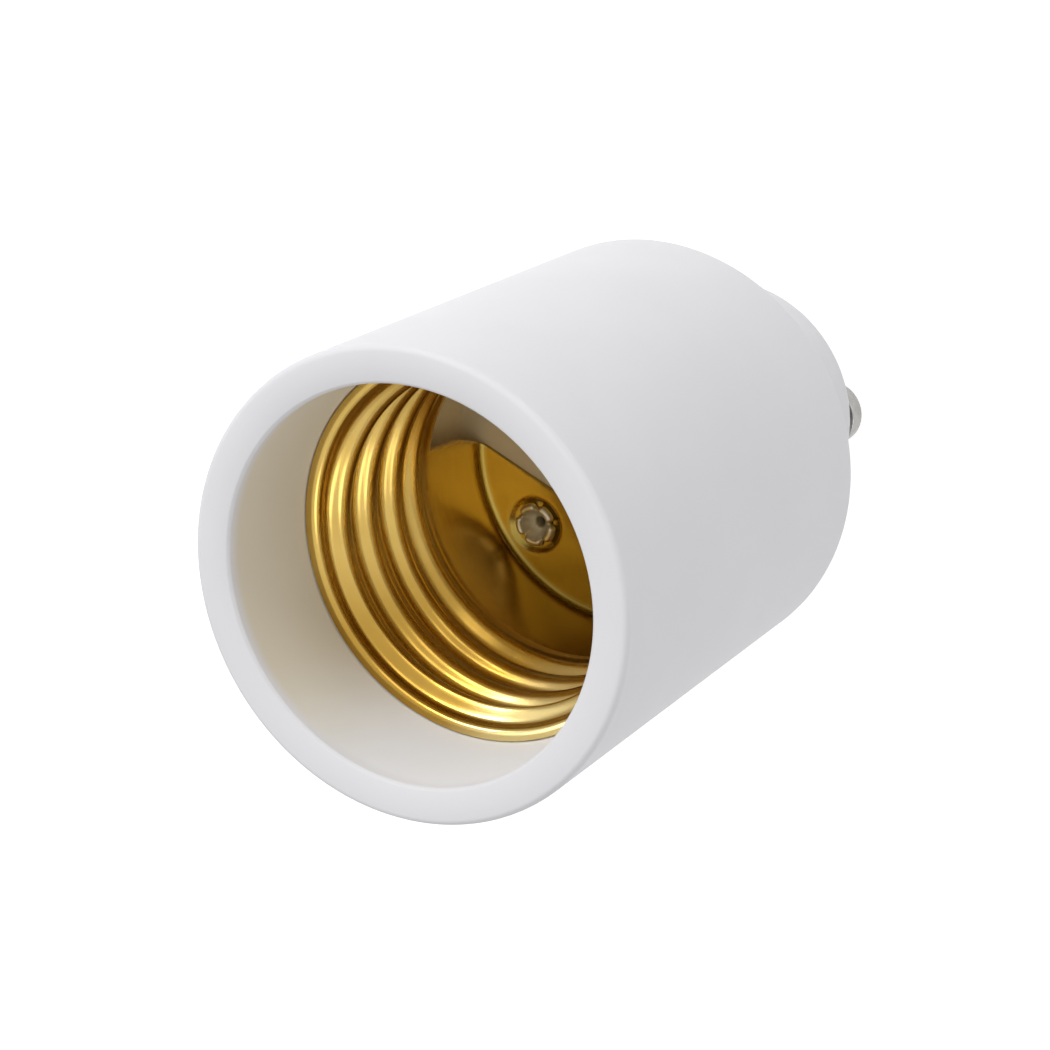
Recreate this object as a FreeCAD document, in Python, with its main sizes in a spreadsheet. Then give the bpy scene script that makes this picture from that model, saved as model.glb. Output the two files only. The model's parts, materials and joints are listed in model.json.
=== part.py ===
import FreeCAD, Part
import math
import os
import Sketcher

# Lamp socket adapter: a twist-lock two-pin base that carries a screw socket for a 27 mm lamp cap.
# Millimetres. The axis is Z with the socket's mouth up. The origin is the centre of the neck's
# end face, where the two pins come out. The pins lie on X.

Vector = FreeCAD.Vector
PI = math.pi
NEAR = 1e-3
HALF_TURN = "180 deg"
PIN_COUNT = "2"
RIVET_COUNT = "2"

SIZES = [
    # tapered outer body
    ("mouth_wall", 2.8, "wall of the body at the mouth"),
    ("shoulder_wall", 2.05, "outside at the shoulder past the screw shell's bore"),
    ("lead_space", 4.05, "room for the leads, shoulder up to the floor's underside"),
    ("rim_round", 0.5, "rounding of the rim's outer edge"),
    ("shoulder_round", 0.8, "rounding of the shoulder's edge"),
    ("ledge_width", 0.45, "width of the ledge behind the shell's lip"),
    ("rim_chamfer_width", 0.2, "bevel inside the rim, across"),
    ("rim_chamfer_depth", 0.25, "bevel inside the rim, down"),
    ("floor_thickness", 2.0, "insulating floor under the screw shell"),
    ("skirt_wall", 2.0, "wall of the body below the floor"),
    ("floor_corner_round", 0.5, "rounding between the bore and the floor"),
    # neck and end wall
    ("neck_length", 12.8, "end face to shoulder"),
    ("neck_wall", 1.8, "wall of the neck"),
    ("neck_round", 1.2, "rounding of the neck's end"),
    ("end_wall", 2.4, "thickness of the wall that holds the pins"),
    ("flange_thickness", 2.0, "flange that closes the body"),
    ("barrier_thickness", 1.2, "wall between the two leads"),
    ("barrier_top_gap", 1.8, "space over the barrier, up to the flange's top"),
    # screw shell
    ("sheet", 0.35, "brass sheet of the screw shell"),
    ("lip_depth", 9.95, "mouth rim down to the shell's lip"),
    ("lip_gap", 0.15, "lip's edge in from the bore above it"),
    ("lip_seat_gap", 0.05, "space round the lip's edge at the foot of its tapered seat"),
    ("lip_round", 0.6, "bend between the lip and the shell"),
    ("socket_depth", 31.0, "mouth rim down to the inside of the shell's bottom"),
    ("shell_gap", 0.25, "space between the thread's outside and the body"),
    ("thread_pitch", 3.629, "pitch of the rolled thread, seven turns to the inch"),
    ("thread_major_dia", 26.7, "inside diameter at the roots"),
    ("thread_height", 1.1, "root to crest, along the radius"),
    ("thread_crest_depth", 11.0, "mouth rim down to the first crest, on the X axis"),
    ("thread_top_gap", 0.5, "plain stretch under the lip"),
    ("thread_fade_in", 1.0, "height over which the thread starts"),
    ("thread_fade_out", 1.5, "height over which the thread ends"),
    ("shell_neck_step", 0.15, "crest to the plain neck of the shell, along the radius"),
    ("shell_neck_height", 7.9, "inside of the bottom up to the thread's end"),
    ("shell_corner_round", 0.6, "inside bend between the neck and the bottom"),
    ("tongue_chord", 4.9, "axis to the straight cut of the shell's bottom"),
    ("tongue_flare", 0.85, "widening of the neck's tongue over its curved stretch"),
    ("tongue_flare_height", 2.9, "height of that curved stretch"),
    ("tongue_top_flare", 0.35, "further widening up to the window's top"),
    ("window_height", 7.4, "inside of the bottom up to the window's top"),
    ("dimple_margin", 0.6, "star's edge to the edge of the pressed dimple"),
    ("dimple_depth", 0.3, "depth of the dimple"),
    ("seam_overlap", 0.4, "height that neighbouring lengths of the shell share"),
    ("seam_inset", 0.05, "faces of the rolled length set in from its neighbours' faces"),
    # centre contact
    ("contact_sheet", 0.4, "sheet of the centre contact"),
    ("contact_width", 6.4, "width of the centre contact"),
    ("contact_height", 5.4, "inside of the shell's bottom up to the contact's crown"),
    ("contact_bend", 0.8, "inside bend of the contact"),
    ("contact_reach", 2.6, "crown's length past the axis"),
    ("contact_toe_drop", 1.3, "fall of the crown's far end"),
    ("contact_pad_reach", 2.6, "rivet to the end of the contact's pad"),
    ("contact_pad_round", 1.6, "rounding of the pad's corners"),
    ("contact_clearance", 0.2, "space between the contact and its guide ribs"),
    ("guide_rib_height", 1.1, "height of the ribs beside the contact"),
    ("guide_rib_wall", 0.8, "thickness of a guide rib"),
    ("guide_rib_length", 3.0, "rivet to a rib's inner end"),
    # rivets, one for the shell and one for the contact
    ("contact_rivet_angle", 62.5, "direction of the contact's rivet from the X axis"),
    ("rivet_shank_dia", 2.6, "outside of the tubular rivet"),
    ("rivet_wall", 0.8, "wall of the tubular rivet"),
    ("rivet_head_margin", 1.1, "shank to the edge of the head under the floor"),
    ("rivet_head_height", 0.6, "height of that head"),
    ("flare_margin", 0.4, "shank to the edge of the flared star"),
    ("flare_height", 0.55, "height of the flared star"),
    ("flare_edge_height", 0.22, "upright edge of the star"),
    ("flare_slope", 0.3, "width of the star's outer slope"),
    ("flare_mouth_width", 0.6, "widening of the bore in the star"),
    ("flare_mouth_depth", 0.8, "depth of that widening"),
    ("flare_slots", 5, "number of splits in the flared end"),
    ("flare_slot_width", 0.45, "width of a split at the star's edge"),
    ("rivet_clearance", 0.05, "space round a rivet in its hole"),
    # ring terminals and leads
    ("ring_margin", 0.4, "rivet's head to the edge of a ring terminal"),
    ("ring_sheet", 0.5, "sheet of a ring terminal"),
    ("terminal_clearance", 0.7, "ring terminal to the ring that stands under the floor"),
    ("barrel_gap", 0.2, "ring's edge to the near end of the barrel"),
    ("barrel_wall", 0.45, "wall of the barrel"),
    ("barrel_length", 2.8, "length of the barrel"),
    ("tongue_lap", 0.5, "lap of the ring's tongue on the barrel"),
    ("wire_dia", 1.0, "conductor of a lead"),
    ("wire_gap", 0.05, "space round a conductor"),
    ("sleeve_wall", 0.45, "wall of the insulating sleeve"),
    ("lead_bend", 2.0, "bend radius of a lead at its middle line"),
    ("sleeve_end_gap", 0.05, "space at each end of a sleeve"),
    # pins
    ("pin_spacing", 10.0, "centre to centre of the pins"),
    ("pin_length", 8.0, "pin's end to the neck's end face"),
    ("pin_head_margin", 1.0, "shank to the edge of a pin's head"),
    ("pin_head_height", 1.9, "height of the head"),
    ("pin_head_round", 0.6, "rounding of the head's outer edge"),
    ("pin_shank_dia", 3.0, "shank of a pin"),
    ("pin_collar_margin", 0.6, "shank to the edge of the collar sunk in the end face"),
    ("pin_collar_height", 0.6, "height of that collar"),
    ("pin_tail", 5.6, "shank's length past the end wall"),
    ("pin_bore_depth", 5.0, "depth of the hole that takes the lead"),
    ("pin_clearance", 0.05, "space round a pin in the end wall"),
    ("lock_washer_margin", 1.5, "shank to the edge of a lock washer"),
    ("lock_washer_sheet", 0.5, "thickness of a lock washer"),
    ("lock_washer_clearance", 0.2, "space between a lock washer and the neck's wall"),
    ("flange_clearance", 0.1, "space between the flange and the body"),
]

# Heights and places worked out from the sizes, as expressions
FLOOR_UNDER = "(sizes.neck_length + sizes.lead_space)"
FLOOR_TOP = "(%s + sizes.floor_thickness)" % FLOOR_UNDER
BOTTOM_Z = "(%s + sizes.sheet)" % FLOOR_TOP
MOUTH_Z = "(%s + sizes.socket_depth)" % BOTTOM_Z
LIP_Z = "(%s - sizes.lip_depth)" % MOUTH_Z
LEDGE_Z = "(%s - sizes.sheet)" % LIP_Z
MAJOR_R = "(sizes.thread_major_dia / 2)"
MINOR_R = "(%s - sizes.thread_height)" % MAJOR_R
SHELL_NECK_R = "(%s - sizes.shell_neck_step)" % MINOR_R
SHELL_BORE_R = "(%s + sizes.sheet + sizes.shell_gap)" % MAJOR_R
BORE_R = "(%s + sizes.ledge_width)" % SHELL_BORE_R
LIP_R = "(%s - sizes.lip_gap)" % BORE_R
LIP_SEAT_R = "(%s + sizes.lip_seat_gap)" % LIP_R
MOUTH_R = "(%s + sizes.mouth_wall)" % BORE_R
SHOULDER_R = "(%s + sizes.shoulder_wall)" % SHELL_BORE_R
SKIRT_R = "(%s - sizes.skirt_wall)" % SHOULDER_R
FLANGE_R = "(%s - sizes.flange_clearance)" % SKIRT_R
FLANGE_TOP = "(sizes.neck_length + sizes.flange_thickness)"
FLARE_R = "(sizes.rivet_shank_dia / 2 + sizes.flare_margin)"
DIMPLE_R = "(%s + sizes.dimple_margin)" % FLARE_R
RIVET_CIRCLE = "(%s - sizes.shell_corner_round - %s)" % (SHELL_NECK_R, DIMPLE_R)
RIVET_HEAD_R = "(sizes.rivet_shank_dia / 2 + sizes.rivet_head_margin)"
RING_R = "(%s + sizes.ring_margin)" % RIVET_HEAD_R
CONTACT_X = "(%s * cos(sizes.contact_rivet_angle))" % RIVET_CIRCLE
CONTACT_Y = "(%s * sin(sizes.contact_rivet_angle))" % RIVET_CIRCLE
PIN_X = "(sizes.pin_spacing / 2)"
PIN_R = "(sizes.pin_shank_dia / 2)"
PIN_HEAD_R = "(%s + sizes.pin_head_margin)" % PIN_R
PIN_COLLAR_R = "(%s + sizes.pin_collar_margin)" % PIN_R
WASHER_R = "(%s + sizes.lock_washer_margin)" % PIN_R
NECK_BORE_R = "(%s + %s + sizes.lock_washer_clearance)" % (PIN_X, WASHER_R)
NECK_R = "(%s + sizes.neck_wall)" % NECK_BORE_R
BARREL_R = "(sizes.wire_dia / 2 + sizes.wire_gap + sizes.barrel_wall)"
BARREL_START = "(%s + sizes.barrel_gap)" % RING_R
LEAD_RUN = "sqrt((%s - %s)^2 + %s^2)" % (PIN_X, CONTACT_X, CONTACT_Y)
LEAD_ANGLE = "atan2(0 - %s; %s - %s)" % (CONTACT_Y, PIN_X, CONTACT_X)
LEAD_Z = "(%s - %s)" % (FLOOR_UNDER, BARREL_R)
TAIL_TOP = "(sizes.end_wall + sizes.pin_tail)"
HOLE_R = "(sizes.rivet_shank_dia / 2 + sizes.rivet_clearance)"
LEAD_BORE_R = "(sizes.wire_dia / 2 + sizes.wire_gap)"

doc = FreeCAD.newDocument("lamp_socket_adapter")
sheet = doc.addObject("Spreadsheet::Sheet", "sizes")
for line, (alias, number, note) in enumerate(SIZES, start=1):
    sheet.set("A%d" % line, note)
    sheet.set("B%d" % line, str(number))
    sheet.setAlias("B%d" % line, alias)
doc.recompute()


def value(expression):
    """The number that an expression on the sheet gives."""
    return float(sheet.evalExpression(expression))


def bind(item, **expressions):
    """Bind properties of an object to expressions on the sheet."""
    for name, expression in expressions.items():
        item.setExpression(name.replace("__", "."), expression)


def new_body(label):
    body = doc.addObject("PartDesign::Body", label)
    body.Label = label
    return body


def plane_of(body, role):
    return [item for item in body.Origin.OriginFeatures if item.Role == role][0]


def new_sketch(body, name, role, height=None, turn=None):
    """A sketch on an origin plane of its own body, lifted by height and turned in its plane."""
    sketch = body.newObject("Sketcher::SketchObject", name)
    sketch.AttachmentSupport = [(plane_of(body, role), "")]
    sketch.MapMode = "FlatFace"
    if height is not None:
        sketch.setExpression("AttachmentOffset.Base.z", height)
    if turn is not None:
        sketch.setExpression("AttachmentOffset.Rotation.Angle", turn)
    return sketch


def hold_point(sketch, curve, end, x, y):
    """Hold one point of a curve at a place that the sheet gives."""
    for kind, text in (("DistanceX", x), ("DistanceY", y)):
        index = sketch.addConstraint(Sketcher.Constraint(kind, curve, end, value(text)))
        sketch.setExpression("Constraints[%d]" % index, text)


def add_outline(sketch, corners):
    """A closed outline of straight sides through corners given as pairs of expressions."""
    places = [Vector(value(x), value(y), 0) for x, y in corners]
    count = len(places)
    first = sketch.GeometryCount
    for index in range(count):
        side = Part.LineSegment(places[index], places[(index + 1) % count])
        sketch.addGeometry(side, False)
    for index in range(count):
        following = first + (index + 1) % count
        sketch.addConstraint(Sketcher.Constraint("Coincident", first + index, 2, following, 1))
    for index, (x, y) in enumerate(corners):
        hold_point(sketch, first + index, 1, x, y)


def add_circle(sketch, x, y, radius):
    centre = Vector(value(x), value(y), 0)
    index = sketch.addGeometry(Part.Circle(centre, Vector(0, 0, 1), value(radius)), False)
    hold_point(sketch, index, 3, x, y)
    held = sketch.addConstraint(Sketcher.Constraint("Radius", index, value(radius)))
    sketch.setExpression("Constraints[%d]" % held, radius)


def revolve(body, name, corners):
    """A full turn of an outline in the XZ plane about Z."""
    sketch = new_sketch(body, name + "_outline", "XZ_Plane")
    add_outline(sketch, corners)
    turned = body.newObject("PartDesign::Revolution", name)
    turned.Profile = sketch
    turned.ReferenceAxis = (sketch, ["V_Axis"])
    turned.Angle = 360
    doc.recompute()
    return turned


def pad(body, name, sketch, length, midplane=False):
    solid = body.newObject("PartDesign::Pad", name)
    solid.Profile = sketch
    solid.Midplane = midplane
    solid.setExpression("Length", length)
    doc.recompute()
    return solid


def pocket(body, name, sketch, length, upward):
    """A straight cut from a sketch; upward cuts along the sketch's own normal."""
    cut = body.newObject("PartDesign::Pocket", name)
    cut.Profile = sketch
    cut.Reversed = upward
    cut.setExpression("Length", length)
    doc.recompute()
    return cut


def polar(body, name, feature, count):
    """Copies of one feature evenly round the body's Z axis."""
    pattern = body.newObject("PartDesign::PolarPattern", name)
    pattern.Originals = [feature]
    pattern.Axis = (plane_of(body, "Z_Axis"), [""])
    pattern.Angle = 360
    pattern.setExpression("Occurrences", count)
    body.Tip = pattern
    doc.recompute()
    return pattern


def round_edges(body, name, radius, chosen):
    """Fillet the edges of the body's tip that the test picks."""
    base = body.Tip
    names = ["Edge%d" % (index + 1) for index, edge in enumerate(base.Shape.Edges) if chosen(edge)]
    fillet = body.newObject("PartDesign::Fillet", name)
    fillet.Base = (base, names)
    fillet.setExpression("Radius", radius)
    doc.recompute()
    return fillet


def ring_edge(radius, height):
    """A test for the full circle about Z of one radius at one height."""
    def chosen(edge):
        curve = edge.Curve
        if not isinstance(curve, Part.Circle):
            return False
        same = abs(curve.Radius - radius) < NEAR and abs(curve.Center.z - height) < NEAR
        return same and math.hypot(curve.Center.x, curve.Center.y) < NEAR
    return chosen


def place(item, x="0", y="0", z="0", angle="0"):
    item.setExpression("Placement.Base.x", x)
    item.setExpression("Placement.Base.y", y)
    item.setExpression("Placement.Base.z", z)
    item.setExpression("Placement.Rotation.Angle", angle)


def make_housing():
    """The white outer body: tapered outside, bore, ledge for the lip, floor and skirt."""
    body = new_body("housing")
    revolve(body, "housing_wall", [
        (BORE_R + " + sizes.rim_chamfer_width", MOUTH_Z),
        (MOUTH_R, MOUTH_Z),
        (SHOULDER_R, "sizes.neck_length"),
        (SKIRT_R, "sizes.neck_length"),
        (SKIRT_R, FLOOR_UNDER),
        ("0", FLOOR_UNDER),
        ("0", FLOOR_TOP),
        (SHELL_BORE_R, FLOOR_TOP),
        (SHELL_BORE_R, LEDGE_Z),
        (LIP_SEAT_R, LEDGE_Z),
        (BORE_R, LIP_Z),
        (BORE_R, MOUTH_Z + " - sizes.rim_chamfer_depth"),
    ])
    body.Tip = body.Group[-1]
    ribs = new_sketch(body, "guide_rib_outline", "XY_Plane", FLOOR_TOP, "sizes.contact_rivet_angle")
    near = "(sizes.contact_width / 2 + sizes.contact_clearance)"
    far = "(%s + sizes.guide_rib_wall)" % near
    start = "(%s - sizes.guide_rib_length)" % RIVET_CIRCLE
    end = RIVET_CIRCLE
    for side in ("", "-"):
        add_outline(ribs, [(start, side + near), (end, side + near), (end, side + far),
                           (start, side + far)])
    pad(body, "guide_ribs", ribs, "sizes.guide_rib_height")
    holes = new_sketch(body, "rivet_hole_outline", "XY_Plane", FLOOR_UNDER)
    add_circle(holes, CONTACT_X, CONTACT_Y, HOLE_R)
    hole = pocket(body, "rivet_hole", holes, "sizes.floor_thickness", True)
    polar(body, "rivet_holes", hole, RIVET_COUNT)
    seat = new_sketch(body, "dimple_seat_outline", "XY_Plane", FLOOR_TOP)
    add_circle(seat, "-" + CONTACT_X, "-" + CONTACT_Y, DIMPLE_R + " + sizes.rivet_clearance")
    pocket(body, "dimple_seat", seat, "sizes.dimple_depth", False)
    round_edges(body, "rim_edge", "sizes.rim_round",
                ring_edge(value(MOUTH_R), value(MOUTH_Z)))
    round_edges(body, "shoulder_edge", "sizes.shoulder_round",
                ring_edge(value(SHOULDER_R), value("sizes.neck_length")))
    round_edges(body, "floor_corner", "sizes.floor_corner_round",
                ring_edge(value(SHELL_BORE_R), value(FLOOR_TOP)))
    return body


def make_base():
    """The white two-pin base: neck, end wall, flange, seat ring and the barrier inside."""
    body = new_body("base")
    ring_inner = "(%s + %s + sizes.terminal_clearance)" % (RIVET_CIRCLE, RING_R)
    revolve(body, "base_wall", [
        ("0", "0"),
        (NECK_R, "0"),
        (NECK_R, "sizes.neck_length"),
        (FLANGE_R, "sizes.neck_length"),
        (FLANGE_R, FLOOR_UNDER),
        (ring_inner, FLOOR_UNDER),
        (ring_inner, FLANGE_TOP),
        (NECK_BORE_R, FLANGE_TOP),
        (NECK_BORE_R, "sizes.end_wall"),
        ("0", "sizes.end_wall"),
    ])
    body.Tip = body.Group[-1]
    wall = new_sketch(body, "barrier_outline", "XY_Plane", "sizes.end_wall")
    half = "sizes.barrier_thickness / 2"
    reach = "(%s + sizes.neck_wall / 2)" % NECK_BORE_R
    add_outline(wall, [("-" + half, "-" + reach), (half, "-" + reach), (half, reach),
                       ("-" + half, reach)])
    pad(body, "barrier", wall, FLANGE_TOP + " - sizes.end_wall - sizes.barrier_top_gap")
    through = new_sketch(body, "pin_hole_outline", "XY_Plane")
    add_circle(through, PIN_X, "0", PIN_R + " + sizes.pin_clearance")
    hole = pocket(body, "pin_hole", through, "sizes.end_wall", True)
    polar(body, "pin_holes", hole, PIN_COUNT)
    sunk = new_sketch(body, "collar_seat_outline", "XY_Plane")
    add_circle(sunk, PIN_X, "0", PIN_COLLAR_R + " + sizes.pin_clearance")
    seat = pocket(body, "collar_seat", sunk, "sizes.pin_collar_height", True)
    polar(body, "collar_seats", seat, PIN_COUNT)
    round_edges(body, "neck_end_edge", "sizes.neck_round", ring_edge(value(NECK_R), 0))
    return body


def ease(part):
    """A smooth rise from 0 to 1."""
    part = min(max(part, 0.0), 1.0)
    return part * part * (3 - 2 * part)


def rolled_wave(turns, pitch, depth):
    """The thread's form, 1 on a crest and 0 at a root, made of equal round arcs."""
    quarter = pitch / 4
    half = depth / 2
    arc = (quarter ** 2 + half ** 2) / (2 * half)
    share = abs(turns - round(turns))
    if share < 0.25:
        return 1 - (arc - math.sqrt(arc ** 2 - (share * pitch) ** 2)) / depth
    return (arc - math.sqrt(arc ** 2 - ((0.5 - share) * pitch) ** 2)) / depth


def make_thread_band(top, bottom):
    """The rolled stretch of the shell: a wave in the sheet that climbs one pitch each turn."""
    mouth = value(MOUTH_Z)
    pitch = value("sizes.thread_pitch")
    root = value(MAJOR_R)
    crest = value(MINOR_R)
    first = value("sizes.thread_crest_depth")
    fade_in = value("sizes.thread_fade_in")
    fade_out = value("sizes.thread_fade_out")
    sheet_size = value("sizes.sheet")
    seam = value("sizes.seam_overlap")
    inset = value("sizes.seam_inset")
    sections_per_turn = 24
    points_per_pitch = 12

    def radius(angle, height):
        turns = (mouth - height - first) / pitch + angle / (2 * PI)
        wave = rolled_wave(turns, pitch, root - crest)
        inward = ease((top - seam - height) / fade_in)
        inward *= 1 - ease((height - bottom - seam) / fade_out) * (1 - wave)
        return root - (root - crest) * inward

    steps = int(math.ceil(points_per_pitch * (top - bottom) / pitch))
    shares = [step / steps for step in range(steps + 1)]

    def side(angle, offset):
        points = []
        for share in shares:
            height = bottom + (top - bottom) * share
            reach = radius(angle, height) + offset
            points.append(Vector(reach * math.cos(angle), reach * math.sin(angle), height))
        curve = Part.BSplineCurve()
        curve.interpolate(Points=points, Parameters=shares)
        return curve.toShape(), points[0], points[-1]

    sections = []
    for index in range(sections_per_turn):
        angle = 2 * PI * index / sections_per_turn
        inner, inner_low, inner_high = side(angle, inset)
        outer, outer_low, outer_high = side(angle, sheet_size - inset)
        closing = [Part.makeLine(inner_high, outer_high), Part.makeLine(outer_low, inner_low)]
        sections.append(Part.Wire([inner, closing[0], outer, closing[1]]))
    band = doc.addObject("Part::Feature", "thread_band")
    band.Shape = Part.makeLoft(sections, True, False, True)
    band.Placement = FreeCAD.Placement()
    return band


def make_window():
    """The space of the shell's window; the tongue beside it widens on its way up."""
    body = new_body("shell_window")
    under = "(%s - 2 * sizes.sheet)" % BOTTOM_Z
    middle = "(%s + sizes.tongue_flare_height)" % BOTTOM_Z
    top = "(%s + sizes.window_height)" % BOTTOM_Z
    side = new_sketch(body, "window_side", "YZ_Plane")
    add_outline(side, [
        ("-sizes.tongue_chord", under), (BORE_R, under), (BORE_R, top),
        ("-sizes.tongue_chord + sizes.tongue_flare + sizes.tongue_top_flare", top),
        ("-sizes.tongue_chord + sizes.tongue_flare", middle), ("-sizes.tongue_chord", BOTTOM_Z),
    ])
    pad(body, "window_space", side, "2 * %s" % BORE_R, True)
    body.Tip = body.Group[-1]
    return body


def make_shell():
    """The brass screw shell: lip, rolled thread, plain neck and a bottom cut to a D."""
    band_top = "(%s - sizes.thread_top_gap + sizes.seam_overlap)" % LEDGE_Z
    neck_top = "(%s + sizes.shell_neck_height)" % BOTTOM_Z
    band_low = "(%s + sizes.seam_overlap)" % neck_top
    lip = new_body("shell_lip")
    revolve(lip, "lip_ring", [
        (MAJOR_R, band_top + " - sizes.seam_overlap"),
        (MAJOR_R + " + sizes.sheet", band_top + " - sizes.seam_overlap"),
        (MAJOR_R + " + sizes.sheet", LEDGE_Z),
        (LIP_R, LEDGE_Z),
        (LIP_R, LIP_Z),
        (MAJOR_R, LIP_Z),
    ])
    lip.Tip = lip.Group[-1]
    round_edges(lip, "lip_bend", "sizes.lip_round", ring_edge(value(MAJOR_R), value(LIP_Z)))

    cup = new_body("shell_cup")
    revolve(cup, "cup_wall", [
        ("0", FLOOR_TOP),
        (SHELL_NECK_R + " + sizes.sheet", FLOOR_TOP),
        (SHELL_NECK_R + " + sizes.sheet", neck_top),
        (MINOR_R + " + sizes.sheet", band_low),
        (MINOR_R + " + sizes.sheet", band_low + " + sizes.seam_overlap"),
        (MINOR_R, band_low + " + sizes.seam_overlap"),
        (MINOR_R, band_low),
        (SHELL_NECK_R, neck_top),
        (SHELL_NECK_R, BOTTOM_Z),
        ("0", BOTTOM_Z),
    ])
    cup.Tip = cup.Group[-1]
    round_edges(cup, "cup_bend_inside", "sizes.shell_corner_round",
                ring_edge(value(SHELL_NECK_R), value(BOTTOM_Z)))
    round_edges(cup, "cup_bend_outside", "sizes.shell_corner_round + sizes.sheet",
                ring_edge(value(SHELL_NECK_R + " + sizes.sheet"), value(FLOOR_TOP)))

    band = make_thread_band(value(band_top), value(band_low))

    dish = doc.addObject("Part::Cone", "dimple_outside")
    bind(dish, Radius1=DIMPLE_R + " - sizes.sheet", Radius2=DIMPLE_R,
         Height="sizes.dimple_depth")
    place(dish, "-" + CONTACT_X, "-" + CONTACT_Y, FLOOR_TOP + " - sizes.dimple_depth")
    union = doc.addObject("Part::MultiFuse", "shell_union")
    union.Shapes = [lip, band, cup, dish]

    hollow = doc.addObject("Part::Cone", "dimple_inside")
    bind(hollow, Radius1=DIMPLE_R + " - sizes.sheet", Radius2=DIMPLE_R,
         Height="sizes.dimple_depth")
    place(hollow, "-" + CONTACT_X, "-" + CONTACT_Y, BOTTOM_Z + " - sizes.dimple_depth")
    hole = doc.addObject("Part::Cylinder", "shell_rivet_hole")
    bind(hole, Radius=HOLE_R, Height="2 * (sizes.sheet + sizes.dimple_depth)")
    place(hole, "-" + CONTACT_X, "-" + CONTACT_Y, FLOOR_TOP + " - sizes.sheet - sizes.dimple_depth")
    window = make_window()
    cutters = doc.addObject("Part::MultiFuse", "shell_cutters")
    cutters.Shapes = [hollow, hole, window]
    shell = doc.addObject("Part::Cut", "threaded_shell")
    shell.Label = "threaded_shell"
    shell.Base = union
    shell.Tool = cutters
    doc.recompute()
    return shell


def make_contact():
    """The sprung centre contact: a pad on the floor, a leg that climbs and a crown on the axis."""
    body = new_body("centre_contact")
    radius = RIVET_CIRCLE
    under = FLOOR_TOP
    top = "(%s + sizes.contact_sheet)" % FLOOR_TOP
    crown = "(%s + sizes.contact_height)" % BOTTOM_Z
    crown_under = "(%s - sizes.contact_sheet)" % crown
    toe = "(%s - sizes.contact_toe_drop)" % crown
    toe_under = "(%s - sizes.contact_sheet)" % toe
    outer = "(%s + sizes.contact_pad_reach)" % radius
    foot = "(%s - sizes.contact_width / 2)" % radius
    hip = "sizes.contact_reach"
    climb = "atan2(%s - %s; %s - %s)" % (crown_under, under, foot, hip)
    lean = "sizes.contact_sheet * tan(%s / 2)" % climb
    side = new_sketch(body, "contact_side", "XZ_Plane")
    add_outline(side, [
        (outer, under), (foot, under), (hip, crown_under),
        ("0", crown_under), ("-" + hip, toe_under), ("-" + hip, toe), ("0", crown),
        ("%s + %s" % (hip, lean), crown), ("%s + %s" % (foot, lean), top), (outer, top),
    ])
    pad(body, "contact_strip", side, "sizes.contact_width", True)
    body.Tip = body.Group[-1]
    hole_sketch = new_sketch(body, "contact_hole_outline", "XY_Plane", under)
    add_circle(hole_sketch, radius, "0", HOLE_R)
    pocket(body, "contact_hole", hole_sketch, "2 * sizes.contact_sheet", True)

    def bend_edge(x, z):
        def chosen(edge):
            middle = edge.BoundBox.Center
            along = abs(edge.BoundBox.YLength - value("sizes.contact_width")) < NEAR
            return along and abs(middle.x - x) < NEAR and abs(middle.z - z) < NEAR
        return chosen

    inside = "sizes.contact_bend"
    outside = "sizes.contact_bend + sizes.contact_sheet"
    round_edges(body, "hip_outside", outside,
                bend_edge(value("%s + %s" % (hip, lean)), value(crown)))
    round_edges(body, "hip_inside", inside, bend_edge(value(hip), value(crown_under)))
    round_edges(body, "foot_outside", outside, bend_edge(value(foot), value(under)))
    round_edges(body, "foot_inside", inside,
                bend_edge(value("%s + %s" % (foot, lean)), value(top)))
    round_edges(body, "crown_outside", outside, bend_edge(0, value(crown)))
    round_edges(body, "crown_inside", inside, bend_edge(0, value(crown_under)))

    def pad_corner(edge):
        upright = abs(edge.BoundBox.ZLength - value("sizes.contact_sheet")) < NEAR
        narrow = edge.BoundBox.XLength < NEAR and edge.BoundBox.YLength < NEAR
        return upright and narrow and abs(edge.BoundBox.Center.x - value(outer)) < NEAR

    round_edges(body, "pad_corners", "sizes.contact_pad_round", pad_corner)
    place(body, angle="sizes.contact_rivet_angle")
    return body


def make_rivet(label, seat, x, y):
    """A tubular rivet: head under the floor, shank, and an end split and rolled to a star."""
    body = new_body(label)
    shank = "sizes.rivet_shank_dia / 2"
    bore = "(%s - sizes.rivet_wall)" % shank
    head_top = "(%s - sizes.ring_sheet)" % FLOOR_UNDER
    head_under = "(%s - sizes.rivet_head_height)" % head_top
    high = "(%s + sizes.flare_height)" % seat
    inner = "(%s + sizes.flare_mouth_width)" % bore
    revolve(body, label + "_turning", [
        (bore, head_under), (RIVET_HEAD_R, head_under), (RIVET_HEAD_R, head_top),
        (shank, head_top), (shank, seat), (FLARE_R, seat),
        (FLARE_R, seat + " + sizes.flare_edge_height"),
        (FLARE_R + " - sizes.flare_slope", high), (inner, high),
        (bore, high + " - sizes.flare_mouth_depth"),
    ])
    body.Tip = body.Group[-1]
    split = new_sketch(body, label + "_split_outline", "XY_Plane", seat)
    past = "(2 * %s)" % FLARE_R
    wide = "(sizes.flare_slot_width / 2 * (%s - %s) / (%s - %s))" % (past, inner, FLARE_R, inner)
    add_outline(split, [(inner, "0"), (past, "-" + wide), (past, wide)])
    slot = pocket(body, label + "_split", split, "2 * sizes.flare_height", True)
    polar(body, label + "_splits", slot, "sizes.flare_slots")
    place(body, x, y)
    return body


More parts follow.
